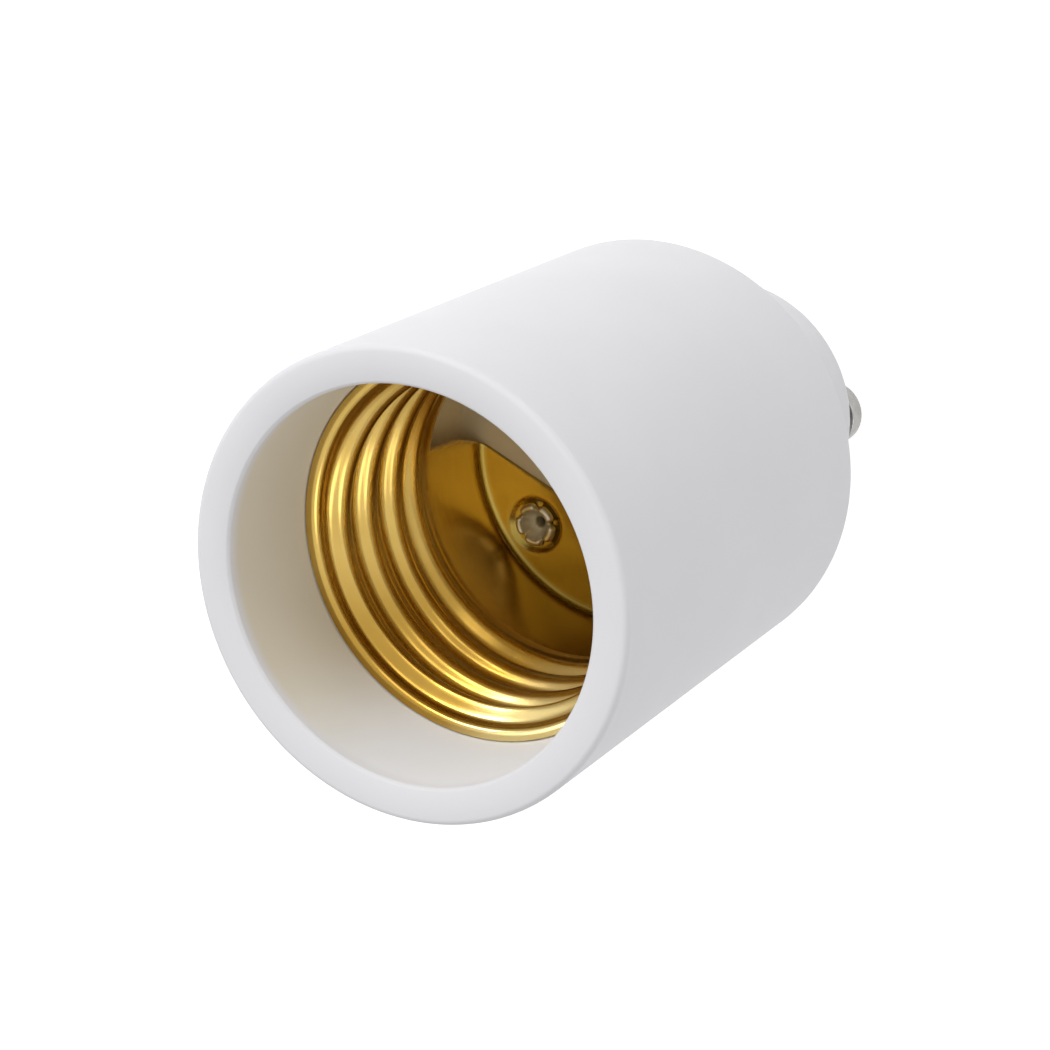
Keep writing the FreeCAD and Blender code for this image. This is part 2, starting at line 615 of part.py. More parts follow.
def make_terminal(label, side):
    """A ring terminal under the floor, with its barrel towards the pin."""
    body = new_body(label)
    ring = new_sketch(body, label + "_ring_outline", "XY_Plane",
                      "%s - sizes.ring_sheet" % FLOOR_UNDER)
    add_circle(ring, "0", "0", RING_R)
    add_circle(ring, "0", "0", HOLE_R)
    pad(body, label + "_ring", ring, "sizes.ring_sheet")
    tongue = new_sketch(body, label + "_tongue_outline", "XY_Plane",
                        "%s - sizes.ring_sheet" % FLOOR_UNDER)
    near = RIVET_HEAD_R
    far = BARREL_START + " + sizes.tongue_lap"
    half = BARREL_R
    add_outline(tongue, [(near, "-" + half), (far, "-" + half), (far, half), (near, half)])
    pad(body, label + "_tongue", tongue, "sizes.ring_sheet")
    barrel = new_sketch(body, label + "_barrel_outline", "YZ_Plane", BARREL_START)
    add_circle(barrel, "0", LEAD_Z, BARREL_R)
    pad(body, label + "_barrel", barrel, "sizes.barrel_length")
    bore = new_sketch(body, label + "_bore_outline", "YZ_Plane", BARREL_START)
    add_circle(bore, "0", LEAD_Z, LEAD_BORE_R)
    pocket(body, label + "_bore", bore, "2 * sizes.barrel_length", True)
    put_at_rivet(body, side)
    return body


def put_at_rivet(item, side):
    """Place what is drawn from the rivet towards the pin; the two sides are half a turn apart."""
    sign = "" if side > 0 else "-"
    turn = LEAD_ANGLE if side > 0 else HALF_TURN + " + " + LEAD_ANGLE
    place(item, sign + CONTACT_X, sign + CONTACT_Y, "0", turn)


def lead_path(body, name, start, end):
    """The lead's middle line: out of the barrel, round one bend and down into the pin."""
    sketch = new_sketch(body, name, "XZ_Plane")
    before = "(%s - sizes.lead_bend)" % LEAD_RUN
    below = "(%s - sizes.lead_bend)" % LEAD_Z
    spots = [(start, LEAD_Z), (before, LEAD_Z), (LEAD_RUN, below), (LEAD_RUN, end)]
    places = [Vector(value(x), value(y), 0) for x, y in spots]
    sketch.addGeometry(Part.LineSegment(places[0], places[1]), False)
    centre = Vector(value(before), value(below), 0)
    circle = Part.Circle(centre, Vector(0, 0, 1), value("sizes.lead_bend"))
    sketch.addGeometry(Part.ArcOfCircle(circle, 0, PI / 2), False)
    sketch.addGeometry(Part.LineSegment(places[2], places[3]), False)
    sketch.addConstraint(Sketcher.Constraint("Coincident", 0, 2, 1, 2))
    sketch.addConstraint(Sketcher.Constraint("Coincident", 1, 1, 2, 1))
    hold_point(sketch, 0, 1, *spots[0])
    hold_point(sketch, 0, 2, *spots[1])
    hold_point(sketch, 2, 1, *spots[2])
    hold_point(sketch, 2, 2, *spots[3])
    held = sketch.addConstraint(Sketcher.Constraint("Radius", 1, value("sizes.lead_bend")))
    sketch.setExpression("Constraints[%d]" % held, "sizes.lead_bend")
    return sketch


def make_lead(label, side, radii, start, end):
    """A round section carried along the lead's middle line."""
    body = new_body(label)
    path = lead_path(body, label + "_path", start, end)
    section = new_sketch(body, label + "_section", "YZ_Plane", start)
    for radius in radii:
        add_circle(section, "0", LEAD_Z, radius)
    doc.recompute()
    pipe = body.newObject("PartDesign::AdditivePipe", label + "_pipe")
    pipe.Profile = section
    pipe.Spine = (path, ["Edge1", "Edge2", "Edge3"])
    doc.recompute()
    put_at_rivet(body, side)
    return body


def make_pin(label, side):
    """A round contact pin: mushroom head, shank, sunk collar and a tail bored for the lead."""
    body = new_body(label)
    shank = PIN_R
    head = PIN_HEAD_R
    collar = PIN_COLLAR_R
    bore = LEAD_BORE_R
    tip = "-sizes.pin_length"
    neck = "(sizes.pin_head_height - sizes.pin_length)"
    bottom = "(%s - sizes.pin_bore_depth)" % TAIL_TOP
    revolve(body, label + "_turning", [
        ("0", tip), (head, tip), (head, neck), (shank, neck), (shank, "0"), (collar, "0"),
        (collar, "sizes.pin_collar_height"), (shank, "sizes.pin_collar_height"),
        (shank, TAIL_TOP), (bore, TAIL_TOP), (bore, bottom), ("0", bottom),
    ])
    body.Tip = body.Group[-1]
    round_edges(body, label + "_head_edge", "sizes.pin_head_round",
                ring_edge(value(head), value(tip)))
    place(body, PIN_X if side > 0 else "-" + PIN_X)
    return body


def make_lock_washers():
    """Two push-on washers that hold the pins' tails, one for each pin."""
    rings = []
    for side in (1, -1):
        body = new_body("lock_washer_%s" % ("live" if side > 0 else "neutral"))
        flat = new_sketch(body, body.Name + "_outline", "XY_Plane", "sizes.end_wall")
        add_circle(flat, "0", "0", WASHER_R)
        add_circle(flat, "0", "0", PIN_R)
        pad(body, body.Name + "_plate", flat, "sizes.lock_washer_sheet")
        place(body, PIN_X if side > 0 else "-" + PIN_X)
        rings.append(body)
    group = doc.addObject("Part::Compound", "lock_washers")
    group.Label = "lock_washers"
    group.Links = rings
    group.Placement = FreeCAD.Placement()
    doc.recompute()
    return group


wire_start = BARREL_START + " + sizes.wire_gap"
wire_end = "(%s - sizes.pin_bore_depth + sizes.wire_gap)" % TAIL_TOP
sleeve_start = "(%s + sizes.barrel_length + sizes.sleeve_end_gap)" % BARREL_START
sleeve_end = "(%s + sizes.sleeve_end_gap)" % TAIL_TOP
wire_circles = ["sizes.wire_dia / 2"]
sleeve_circles = ["(%s + sizes.sleeve_wall)" % LEAD_BORE_R, LEAD_BORE_R]
contact_seat = "(%s + sizes.contact_sheet)" % FLOOR_TOP
shell_seat = "(%s - sizes.dimple_depth)" % BOTTOM_Z

subparts = [
    make_housing(),
    make_base(),
    make_shell(),
    make_contact(),
    make_rivet("contact_rivet", contact_seat, CONTACT_X, CONTACT_Y),
    make_rivet("shell_rivet", shell_seat, "-" + CONTACT_X, "-" + CONTACT_Y),
    make_terminal("contact_terminal", 1),
    make_terminal("shell_terminal", -1),
    make_lead("contact_lead_wire", 1, wire_circles, wire_start, wire_end),
    make_lead("shell_lead_wire", -1, wire_circles, wire_start, wire_end),
    make_lead("contact_lead_sleeve", 1, sleeve_circles, sleeve_start, sleeve_end),
    make_lead("shell_lead_sleeve", -1, sleeve_circles, sleeve_start, sleeve_end),
    make_pin("live_pin", 1),
    make_pin("neutral_pin", -1),
    make_lock_washers(),
]
doc.recompute()

for item in doc.Objects:
    if "Invalid" in item.State or "Error" in item.State:
        raise RuntimeError("%s is %s" % (item.Label, item.State))
os.makedirs("parts", exist_ok=True)
for item in subparts:
    if item.Shape.isNull() or not item.Shape.isValid():
        raise RuntimeError("%s has no sound shape" % item.Label)
    item.Shape.exportStep(os.path.join("parts", item.Label + ".step"))
    print(item.Label, "solids", len(item.Shape.Solids), "volume %.2f" % item.Shape.Volume)
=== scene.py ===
import json
import math

import bmesh
import bpy
from mathutils import Matrix, Vector


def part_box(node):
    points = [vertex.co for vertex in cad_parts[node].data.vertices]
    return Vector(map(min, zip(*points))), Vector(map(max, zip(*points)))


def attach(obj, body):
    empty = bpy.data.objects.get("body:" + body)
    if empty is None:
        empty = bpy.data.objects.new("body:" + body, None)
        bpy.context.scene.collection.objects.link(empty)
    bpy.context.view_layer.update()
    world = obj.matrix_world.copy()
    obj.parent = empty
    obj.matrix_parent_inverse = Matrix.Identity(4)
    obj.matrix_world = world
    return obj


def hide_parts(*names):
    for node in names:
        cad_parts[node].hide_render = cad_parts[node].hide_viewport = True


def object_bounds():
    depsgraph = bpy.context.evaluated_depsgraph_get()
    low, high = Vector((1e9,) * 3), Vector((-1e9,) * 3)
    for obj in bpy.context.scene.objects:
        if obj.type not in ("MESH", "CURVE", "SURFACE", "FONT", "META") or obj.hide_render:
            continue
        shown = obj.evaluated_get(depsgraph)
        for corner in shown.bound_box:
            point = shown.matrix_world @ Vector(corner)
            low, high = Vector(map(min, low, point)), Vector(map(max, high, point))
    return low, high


# Lamp socket adapter: white moulded body, brass screw shell, two nickel-plated pins.
# Shapes are given in millimetres, as radius and height about the socket's axis, and are
# turned into metres where the meshes are made.

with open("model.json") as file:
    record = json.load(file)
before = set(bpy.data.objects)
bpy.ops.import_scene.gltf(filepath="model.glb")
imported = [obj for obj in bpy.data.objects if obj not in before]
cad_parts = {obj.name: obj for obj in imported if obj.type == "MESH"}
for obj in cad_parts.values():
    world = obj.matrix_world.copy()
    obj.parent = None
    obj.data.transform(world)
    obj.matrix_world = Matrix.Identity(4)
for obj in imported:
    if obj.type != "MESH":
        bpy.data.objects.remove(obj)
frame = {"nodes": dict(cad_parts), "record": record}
cad_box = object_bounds()
MM = 0.001

# Heights and radii of the body, in millimetres
housing_low, housing_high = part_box("housing")
MOUTH_Z = housing_high.z / MM
SHOULDER_Z = housing_low.z / MM
MOUTH_R = 17.2
SHOULDER_R = 16.0
BORE_R = 14.4
RIM_ROUND = 0.5
RIM_BEVEL_WIDTH = 0.2
RIM_BEVEL_DEPTH = 0.25
BEVEL_TOP_IN = 0.02
BEVEL_TOP_OUT = 0.04
BEVEL_FOOT_DROP = 0.05
BEVEL_FOOT_RISE = 0.01
SHOULDER_ROUND = 0.8
FLOOR_ROUND = 0.5
SKIRT_R = 14.0
SKIRT_SOFT = 0.12
SHELL_BORE_R = 13.95
SHEET = 0.35
LIP_Z = MOUTH_Z - 9.95
LEDGE_Z = LIP_Z - SHEET
BOTTOM_Z = MOUTH_Z - 31.0
FLOOR_TOP = BOTTOM_Z - SHEET
FLOOR_UNDER = FLOOR_TOP - 2.0

# Ribs beside the contact, and how far a rib or wall reaches into what it stands on
RIB_GAP = 0.2
RIB_WALL = 0.8
RIB_LENGTH = 3.0
RIB_HEIGHT = 1.1
SUNK = 0.5

# Base
NECK_R = 10.0
NECK_ROUND = 1.2
NECK_BORE_R = 8.2
END_WALL = 2.4
FLANGE_R = 13.9
FLANGE_TOP = SHOULDER_Z + 2.0
SEAT_RING_R = 12.6
BARRIER_WALL = 1.2
BARRIER_REACH = 9.1
BARRIER_TOP = FLANGE_TOP - 1.8
NECK_ROOT_ROUND = 0.3

# Screw shell
LIP_R = 14.25
LIP_SEAT_R = 14.3
LIP_ROUND = 0.6
LIP_EDGE = 0.15
PITCH = 3.629
ROOT_R = 13.35
CREST_R = 12.25
FIRST_CREST_DEPTH = 11.0
THREAD_TOP = LEDGE_Z - 0.5
THREAD_LOW = BOTTOM_Z + 8.7
FADE_IN = 1.0
FADE_OUT = 1.5
PLAIN_R = 12.1
PLAIN_TOP = BOTTOM_Z + 7.9
THREAD_FOOT = PLAIN_TOP + 0.5
PLAIN_STEP = [(CREST_R - 0.05, PLAIN_TOP + 0.25), (PLAIN_R + 0.03, PLAIN_TOP + 0.05)]
PLAIN_START = PLAIN_TOP - 0.15
BEND_ROUND = 0.6
BEND_GAP = 0.1
BOTTOM_INNER_R = 3.8
WINDOW_TOP = BOTTOM_Z + 7.4
TONGUE_EDGE = [(BOTTOM_Z, -4.9), (BOTTOM_Z + 2.9, -4.05), (WINDOW_TOP, -3.7)]
DIMPLE_R = 2.3
DIMPLE_SLOPE = 0.55
DIMPLE_DEPTH = 0.3
DIMPLE_GAP = 0.1
SHEET_EDGE_ROUND = 0.05

# Rivets
RIVET_CIRCLE = 9.2
RIVET_ANGLE = math.radians(62.5)
RIVET_X = RIVET_CIRCLE * math.cos(RIVET_ANGLE)
RIVET_Y = RIVET_CIRCLE * math.sin(RIVET_ANGLE)
RIVET_SHANK_R = 1.3
RIVET_HOLE_R = 1.35
RIVET_BORE_R = 0.4
RIVET_HEAD_R = 2.4
RIVET_HEAD_HEIGHT = 0.6
RING_SHEET = 0.5
FLARE_R = 1.7
FLARE_HEIGHT = 0.55
FUNNEL_R = 1.22
FLARE_LINE = [(1.5, 0.0), (1.64, 0.05), (FLARE_R, 0.16), (1.67, 0.3), (1.58, 0.43), (1.45, 0.52),
              (1.33, FLARE_HEIGHT), (FUNNEL_R, 0.51), (1.14, 0.42), (1.06, 0.28), (0.95, 0.08),
              (0.8, -0.15), (0.64, -0.36), (0.5, -0.5), (RIVET_BORE_R, -0.62)]
FLARE_SPLITS = 5
SPLIT_ANGLE = math.radians(9)
SPLIT_DEPTH = 0.62
SPLIT_DROP = 0.45
SPLIT_FOOT_R = 1.1
UNSPLIT_R = FUNNEL_R - 0.2

# Contact
CONTACT_SHEET = 0.4
CONTACT_WIDTH = 6.4
CONTACT_PAD_PAST = 2.6
CONTACT_PAD_ROUND = 1.6
CONTACT_CLIMB_X = 6.1
CONTACT_CROWN_X = 2.75
CONTACT_CROWN_RISE = 5.4
CONTACT_TOE_X = -2.6
CONTACT_TOE_RISE = 4.1
CONTACT_BEND_ROUND = 1.0
CONTACT_EDGE_ROUND = 0.06

# Pins
PIN_X = 5.0
PIN_TIP = -8.0
PIN_HEAD_R = 2.5
PIN_HEAD_HEIGHT = 1.9
PIN_HEAD_ROUND = 0.6
PIN_HEAD_EDGE = 0.12
PIN_SHANK_R = 1.5
PIN_SHANK_ROOT = 0.15
PIN_COLLAR_R = 2.1
PIN_COLLAR_HEIGHT = 0.6
PIN_COLLAR_EDGE = 0.08
PIN_COLLAR_SINK = 0.001
PIN_TAIL_TOP = END_WALL + 5.6
PIN_BORE_R = 0.55
PIN_BORE_DEPTH = 5.0
PIN_GAP = 0.05

# How finely the meshes are made
ROUND_STEPS = 256
SMALL_STEPS = 96
RIVET_STEPS = 180
SHELL_STEPS = 288
THREAD_ROWS = 110
NECK_ROWS = 10
BOTTOM_ROWS = 40
BEND_STEPS = 6
PAD_ROWS = 12
SHARP = 35

# Sides of the object where painted light and shade fall, as right and up in the photograph
BOUNCE_SHADE_SIDE = (-0.87, 0.5)
AMBER_SHADE_SIDE = (-0.49, -0.87)
PALE_HIGHLIGHT_SIDE = (0.62, -0.78)
DEEP_SHADE_SIDE = (0.0, -1.0)

# Colours, darkest first
WHITE = ((0.80, 0.798, 0.822), (0.822, 0.82, 0.842))
# Painted light, for the lit side of the bore
LIT_SIDE_WHITE = ((0.86, 0.87, 0.89), (0.88, 0.89, 0.91))
# Painted warm light bounced from the brass, with painted shade, for the far side of the bore
BOUNCE_SHADE_WHITE = ((0.76, 0.70, 0.57), (0.78, 0.72, 0.59))
# Painted tan light bounced from the brass, for the plastic round the shell
BRASS_BOUNCE_TAN = ((0.95, 0.84, 0.59), (0.97, 0.86, 0.61))
BRIGHT_BRASS = ((0.62, 0.415, 0.105), (0.66, 0.45, 0.125), (0.70, 0.48, 0.15))
# Painted amber shade, for one side of the thread
AMBER_SHADE_BRASS = ((0.44, 0.26, 0.046), (0.48, 0.285, 0.053), (0.53, 0.32, 0.063))
# Painted pale highlight, for one side of the thread
PALE_HIGHLIGHT_BRASS = ((0.76, 0.59, 0.24), (0.80, 0.63, 0.28), (0.84, 0.67, 0.32))
# Painted light, for the plain neck
LIT_NECK_BRASS = ((0.82, 0.54, 0.12), (0.86, 0.575, 0.14), (0.89, 0.605, 0.16))
# Painted shade, for the flat bottom
SHADED_BOTTOM_BRASS = ((0.42, 0.29, 0.06), (0.48, 0.34, 0.075), (0.54, 0.385, 0.095))
# Deeper painted shade, for one side of the flat bottom
DEEP_SHADE_OLIVE_BRASS = ((0.18, 0.12, 0.022), (0.215, 0.145, 0.028), (0.25, 0.17, 0.036))
PIN_NICKEL = ((0.30, 0.29, 0.28), (0.40, 0.39, 0.375))
RIVET_NICKEL = ((0.56, 0.51, 0.39), (0.72, 0.66, 0.52))
COPPER = ((0.62, 0.30, 0.18), (0.80, 0.46, 0.30))
SLEEVING = ((0.66, 0.64, 0.58), (0.86, 0.85, 0.80))

# The photograph's view. In the camera's own frame (right, down, forward, in millimetres)
# the socket's axis runs from the middle of the mouth, tilted off the forward direction.
VIEW_TILT = math.radians(34.275)
VIEW_ROLL = math.radians(29.371)
VIEW_TURN = math.radians(149.0)
MOUTH_IN_VIEW = Vector((-8.131, 4.351, 306.92))
FOCAL_PIXELS = 4500.0
FRAME_PIXELS = 1050.0
SENSOR = 36.0
CLIP_START = 0.01

# Studio. A soft box is a name, its place in the view (right, up and near, in metres from the
# object's middle), its width and height in metres, and its power in watts.
LAMPS = [
    ("key", (-0.35, 0.35, 0.35), 0.34, 0.12, 1.5),
    ("front", (-0.08, 0.33, 0.50), 0.20, 0.20, 0.25),
    ("left", (-0.50, 0.0, 0.15), 0.22, 0.22, 0.3),
    ("low", (0.20, -0.40, 0.40), 0.24, 0.24, 0.45),
    ("right", (0.45, 0.12, 0.40), 0.24, 0.24, 0.2),
]
ROOM_LIGHT = 0.45
FLOOR_GREY = 0.8
FLOOR_GLOW = 0.68
FLOOR_DROP = 0.02
FLOOR_REACH = 4.0


def arc(centre_r, centre_z, radius, start, end, steps=6):
    """Points along a round corner of an outline, between two angles in degrees."""
    points = []
    for step in range(steps + 1):
        angle = math.radians(start + (end - start) * step / steps)
        points.append((centre_r + radius * math.cos(angle), centre_z + radius * math.sin(angle)))
    return points


def ease(share):
    """A smooth rise from 0 to 1."""
    share = min(max(share, 0.0), 1.0)
    return share * share * (3 - 2 * share)


def piece_from(name, points, faces, sharp=SHARP):
    """A mesh object from points in millimetres, smooth but for edges sharper than the angle."""
    mesh = bpy.data.meshes.new(name)
    mesh.from_pydata([(x * MM, y * MM, z * MM) for x, y, z in points], [], faces)
    work = bmesh.new()
    work.from_mesh(mesh)
    bmesh.ops.recalc_face_normals(work, faces=work.faces)
    work.to_mesh(mesh)
    work.free()
    piece = bpy.data.objects.new(name, mesh)
    bpy.context.scene.collection.objects.link(piece)
    smooth(piece, sharp)
    return piece


def smooth(piece, sharp=SHARP):
    """Shade the piece smooth, but for edges sharper than the angle."""
    piece.data.shade_smooth()
    piece.data.set_sharp_from_angle(angle=math.radians(sharp))


def lathe(name, outline, centre=(0.0, 0.0), steps=ROUND_STEPS, shape=None, sharp=SHARP):
    """A closed outline of (radius, height) points turned a full circle about a vertical axis.

    shape(angle, radius, height) may move a point before it is placed.
    """
    points = []
    rings = []
    for radius, height in outline:
        if radius < 1e-6:
            rings.append([len(points)] * steps)
            points.append((centre[0], centre[1], height))
            continue
        ring = []
        for step in range(steps):
            angle = 2 * math.pi * step / steps
            r, z = shape(angle, radius, height) if shape else (radius, height)
            ring.append(len(points))
            points.append((centre[0] + r * math.cos(angle), centre[1] + r * math.sin(angle), z))
        rings.append(ring)
    faces = []
    for index, ring in enumerate(rings):
        following = rings[(index + 1) % len(rings)]
        for step in range(steps):
            ahead = (step + 1) % steps
            corners = [ring[step], ring[ahead], following[ahead], following[step]]
            face = [corner for place, corner in enumerate(corners)
                    if corner != corners[place - 1]]
            if len(face) > 2:
                faces.append(face)
    return piece_from(name, points, faces, sharp)


def turned_about(points, turn):
    """The points turned about the Z axis."""
    cosine = math.cos(turn)
    sine = math.sin(turn)
    return [(x * cosine - y * sine, x * sine + y * cosine, z) for x, y, z in points]


def block(name, x_range, y_range, z_range, turn=0.0):
    """A plain block, turned about Z."""
    points = [(x, y, z) for z in z_range for y in y_range for x in x_range]
    faces = [(0, 2, 3, 1), (4, 5, 7, 6), (0, 1, 5, 4), (2, 6, 7, 3), (0, 4, 6, 2), (1, 3, 7, 5)]
    return piece_from(name, turned_about(points, turn), faces)


def rod(name, x, y, radius, low, high):
    """A plain upright rod, in the shape of a drilled hole."""
    return lathe(name, [(0, low), (radius, low), (radius, high), (0, high)], (x, y), SMALL_STEPS)


def apply_modifiers(piece):
    """Bake the piece's modifiers into its mesh."""
    graph = bpy.context.evaluated_depsgraph_get()
    mesh = bpy.data.meshes.new_from_object(piece.evaluated_get(graph))
    piece.modifiers.clear()
    piece.data = mesh


def combine(piece, operation, tools):
    """Join the tools to the piece, or cut them from it, and delete them."""
    for tool in tools:
        change = piece.modifiers.new(tool.name, "BOOLEAN")
        change.operation = operation
        change.object = tool
        change.solver = "EXACT"
    apply_modifiers(piece)
    for tool in tools:
        bpy.data.objects.remove(tool)
    smooth(piece)


def round_off(piece, width, angle):
    """A small round on every edge sharper than the angle."""
    change = piece.modifiers.new("edge_round", "BEVEL")
    change.width = width * MM
    change.segments = 2
    change.limit_method = "ANGLE"
    change.angle_limit = math.radians(angle)
    change.harden_normals = False
    apply_modifiers(piece)
    smooth(piece)


def settle(piece, nodes, material):
    """Make the piece ride on the body, stand for its nodes and take its finish."""
    piece.data.materials.clear()
    piece.data.materials.append(material)
    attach(piece, "root")
    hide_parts(*nodes)


class Nodes:
    """A short way to write a material's nodes."""

    def __init__(self, name):
        self.material = bpy.data.materials.new(name)
        self.material.use_nodes = True
        self.tree = self.material.node_tree
        self.shader = self.tree.nodes["Principled BSDF"]

    def add(self, kind, **settings):
        node = self.tree.nodes.new(kind)
        for name, setting in settings.items():
            setattr(node, name, setting)
        return node

    def join(self, source, target):
        self.tree.links.new(source, target)

    def finish(self, colour, roughness=None, normal=None):
        """Join what is given to the shader, and return the material."""
        inputs = (("Base Color", colour), ("Roughness", roughness), ("Normal", normal))
        for name, source in inputs:
            if source is not None:
                self.join(source, self.shader.inputs[name])
        return self.material

    def scaled(self, scale):
        """The object's own coordinates times a scale in each direction."""
        place = self.add("ShaderNodeTexCoord")
        mapping = self.add("ShaderNodeMapping")
        mapping.inputs["Scale"].default_value = scale
        self.join(place.outputs["Object"], mapping.inputs["Vector"])
        return mapping.outputs["Vector"]

    def noise(self, vector, scale, detail=3.0, rough=0.5):
        """Cloudy noise between 0 and 1."""
        node = self.add("ShaderNodeTexNoise")
        node.inputs["Scale"].default_value = scale
        node.inputs["Detail"].default_value = detail
        node.inputs["Roughness"].default_value = rough
        self.join(vector, node.inputs["Vector"])
        return node.outputs["Fac"]

    def ramp(self, factor, stops):
        """A colour ramp through stops of place and colour."""
        stops = list(stops)
        node = self.add("ShaderNodeValToRGB")
        band = node.color_ramp
        while len(band.elements) < len(stops):
            band.elements.new(0.5)
        for element, (place, colour) in zip(band.elements, stops):
            element.position = place
            element.color = (*colour, 1.0)
        self.join(factor, node.inputs["Fac"])
        return node.outputs["Color"]

    def blend(self, factor, colours):
        """A short ramp between two colours."""
        return self.ramp(factor, zip((0.3, 0.7), colours))

    def span(self, factor, low, high):
        """The factor, from 0 to 1, spread between two values."""
        node = self.add("ShaderNodeMapRange")
        node.inputs["To Min"].default_value = low
        node.inputs["To Max"].default_value = high
        self.join(factor, node.inputs["Value"])
        return node.outputs["Result"]

    def product(self, first, *others):
        """All the factors multiplied."""
        total = first
        for other in others:
            node = self.add("ShaderNodeMath", operation="MULTIPLY")
            self.join(total, node.inputs[0])
            self.join(other, node.inputs[1])
            total = node.outputs[0]
        return total

    def fade(self, value, start, end):
        """0 at the start value and 1 at the end value, smooth between them."""
        node = self.add("ShaderNodeMapRange", interpolation_type="SMOOTHSTEP")
        node.inputs["From Min"].default_value = start
        node.inputs["From Max"].default_value = end
        self.join(value, node.inputs["Value"])
        return node.outputs["Result"]

    def toward(self, here, side, start, end):
        """1 on a side given as right and up in the photograph, from start to end off the axis."""
        level = from_view(*side, 0).xy.normalized()
        facing = self.add("ShaderNodeVectorMath", operation="DOT_PRODUCT")
        self.join(here, facing.inputs[0])
        facing.inputs[1].default_value = (level.x, level.y, 0)
        return self.fade(facing.outputs["Value"], start * MM, end * MM)

    def mixed(self, factor, first, second):
        """The first colour where the factor is 0 and the second where it is 1."""
        node = self.add("ShaderNodeMix", data_type="RGBA")
        self.join(factor, node.inputs["Factor"])
        self.join(first, node.inputs[6])
        self.join(second, node.inputs[7])
        return node.outputs[2]

    def bump(self, height, distance, strength, before=None):
        """A relief from a height, on top of the relief before it."""
        node = self.add("ShaderNodeBump")
        node.inputs["Distance"].default_value = distance
        node.inputs["Strength"].default_value = strength
        self.join(height, node.inputs["Height"])
        if before is not None:
            self.join(before, node.inputs["Normal"])
        return node.outputs["Normal"]

    def set(self, **values):
        """Plain values for the shader, named with underscores for spaces."""
        for name, number in values.items():
            self.shader.inputs[name.replace("_", " ")].default_value = number


def make_white_plastic():
    """Satin white moulding: a faint cloud in its colour and a very fine moulded skin.

    Inside the bore its colour holds painted light: a painted warm bounce from the brass with
    painted shade on one side, painted light on the other, a painted tan bounce round the shell.
    """
    nodes = Nodes("white_plastic")
    here = nodes.scaled((1, 1, 1))
    cloud = nodes.noise(here, 90, 2.0)
    white = nodes.blend(cloud, WHITE)
    # Painted light on one side of the bore, painted warm brass bounce and shade on the other
    lit_side = nodes.blend(cloud, LIT_SIDE_WHITE)
    bounce_shade = nodes.blend(cloud, BOUNCE_SHADE_WHITE)
    tan = nodes.blend(cloud, BRASS_BOUNCE_TAN)
    parts = nodes.add("ShaderNodeSeparateXYZ")
    nodes.join(here, parts.inputs[0])
    flat = nodes.add("ShaderNodeCombineXYZ")
    nodes.join(parts.outputs["X"], flat.inputs["X"])
    nodes.join(parts.outputs["Y"], flat.inputs["Y"])
    reach = nodes.add("ShaderNodeVectorMath", operation="LENGTH")
    nodes.join(flat.outputs[0], reach.inputs[0])
    height = parts.outputs["Z"]
    within = nodes.fade(reach.outputs["Value"], (BORE_R + 0.7) * MM, (BORE_R + 0.2) * MM)
    above = nodes.fade(height, (FLOOR_UNDER + 0.2) * MM, (FLOOR_TOP - 0.4) * MM)
    inside = nodes.product(within, above)
    below = nodes.fade(height, (MOUTH_Z - 0.2) * MM, (MOUTH_Z - 1.5) * MM)
    # The side of the bore that takes the painted bounce and shade instead of the painted light
    beside = nodes.toward(here, BOUNCE_SHADE_SIDE, -0.35 * BORE_R, 0.5 * BORE_R)
    # Deep inside, round the shell, the colour is a painted tan bounce from the brass
    deep = nodes.product(inside, nodes.fade(height, (LEDGE_Z + 0.2) * MM, (LEDGE_Z - 1.5) * MM))
    bore = nodes.mixed(nodes.product(inside, below), white, nodes.mixed(beside, lit_side, bounce_shade))
    grain = nodes.noise(here, 4200, 2.0)
    skin = nodes.bump(grain, 0.00002, 0.12)
    flow = nodes.noise(here, 260, 1.0)
    nodes.set(IOR=1.46, Specular_IOR_Level=0.25, Subsurface_Weight=0.06,
              Subsurface_Scale=0.0012, Subsurface_Radius=(1.0, 0.9, 0.8))
    return nodes.finish(nodes.mixed(deep, bore, tan), nodes.span(grain, 0.46, 0.56),
                        nodes.bump(flow, 0.00012, 0.05, skin))


